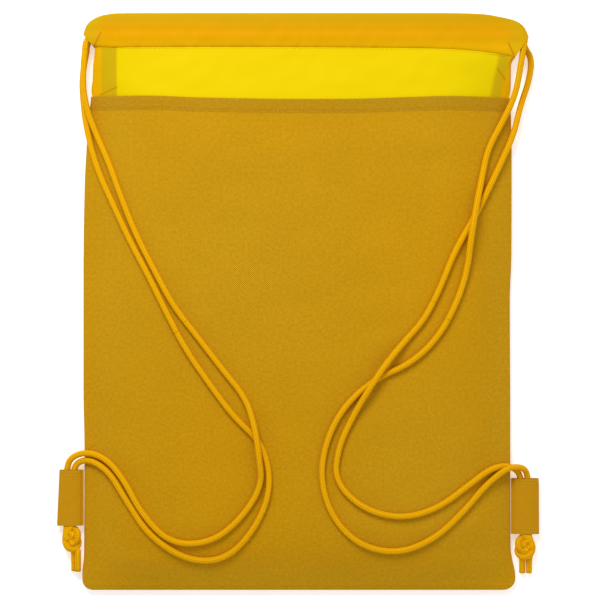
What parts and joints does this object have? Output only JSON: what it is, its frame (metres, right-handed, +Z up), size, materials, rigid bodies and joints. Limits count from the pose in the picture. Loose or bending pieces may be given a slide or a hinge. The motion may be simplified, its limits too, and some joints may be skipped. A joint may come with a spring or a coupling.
{
  "type": "drawstring backpack",
  "caption": "Flat drawstring backpack of woven cloth, with a sheer gathered collar, two drawcords that close the mouth and serve as shoulder straps, and a sewn tab at each bottom corner.",
  "frame": {"origin": "middle of the bag's outline, on the surface that it lies on", "axes": "+Y towards the mouth, +Z up out of the strap side, +X to the right seen from above"},
  "size_m": [0.3748, 0.4444, 0.0314],
  "materials": {
    "twill": "matt woven cloth",
    "nylon": "smooth thin nylon with a soft sheen",
    "cord": "braided cord",
    "thread": "polyester thread"
  },
  "bodies": {
    "bag": {"back_panel": "twill", "front_panel": "twill", "back_collar": "nylon", "front_collar": "nylon", "back_channel_stitching": "thread", "front_channel_stitching": "thread", "back_collar_stitching": "thread", "front_collar_stitching": "thread", "left_side_stitching": "thread", "right_side_stitching": "thread", "bottom_stitching": "thread", "left_cord_back_run": "cord", "left_cord_front_run": "cord", "right_cord_back_run": "cord", "right_cord_front_run": "cord", "left_strap_back_upper": "cord", "left_strap_back_lower": "cord", "left_strap_front_upper": "cord", "left_strap_front_lower": "cord", "right_strap_back_upper": "cord", "right_strap_back_lower": "cord", "right_strap_front_upper": "cord", "right_strap_front_lower": "cord"},
    "left_mouth_corner": {"right_cord_bight": "cord"},
    "right_mouth_corner": {"left_cord_bight": "cord"},
    "left_tab": {"left_tab": "twill", "left_tab_stitching": "thread"},
    "left_knot": {"left_knot": "cord", "left_cord_tails": "cord", "left_cord_tab_run": "cord"},
    "right_tab": {"right_tab": "twill", "right_tab_stitching": "thread"},
    "right_knot": {"right_knot": "cord", "right_cord_tails": "cord", "right_cord_tab_run": "cord"}
  },
  "joints": [
    {"name": "left_mouth_slide", "type": "slide", "parent": "bag", "child": "left_mouth_corner", "axis": [1, 0, 0], "range_m": [0, 0.08], "deforming": ["back_collar", "front_collar", "back_channel_stitching", "front_channel_stitching", "back_collar_stitching", "front_collar_stitching", "left_cord_back_run", "left_cord_front_run", "right_cord_back_run", "right_cord_front_run", "left_strap_back_upper", "left_strap_front_upper"]},
    {"name": "left_tab_fold", "type": "hinge", "parent": "bag", "child": "left_tab", "pos_m": [-0.1661, -0.151, 0.006], "axis": [0, 1, 0], "range_deg": [0, 75], "deforming": ["left_strap_back_lower", "left_strap_front_lower"]},
    {"name": "left_knot_slide", "type": "slide", "parent": "left_tab", "child": "left_knot", "axis": [0, -1, 0], "range_m": [0, 0.015]},
    {"name": "right_mouth_slide", "type": "slide", "parent": "bag", "child": "right_mouth_corner", "axis": [-1, 0, 0], "range_m": [0, 0.08], "deforming": ["right_strap_back_upper", "right_strap_front_upper"]},
    {"name": "right_tab_fold", "type": "hinge", "parent": "bag", "child": "right_tab", "pos_m": [0.1661, -0.1575, 0.006], "axis": [0, -1, 0], "range_deg": [0, 75], "deforming": ["right_strap_back_lower", "right_strap_front_lower"]},
    {"name": "right_knot_slide", "type": "slide", "parent": "right_tab", "child": "right_knot", "axis": [0, -1, 0], "range_m": [0, 0.015]}
  ],
  "couplings": [
    {"joint": "right_mouth_slide", "follows": "left_mouth_slide", "ratio": 1}
  ]
}
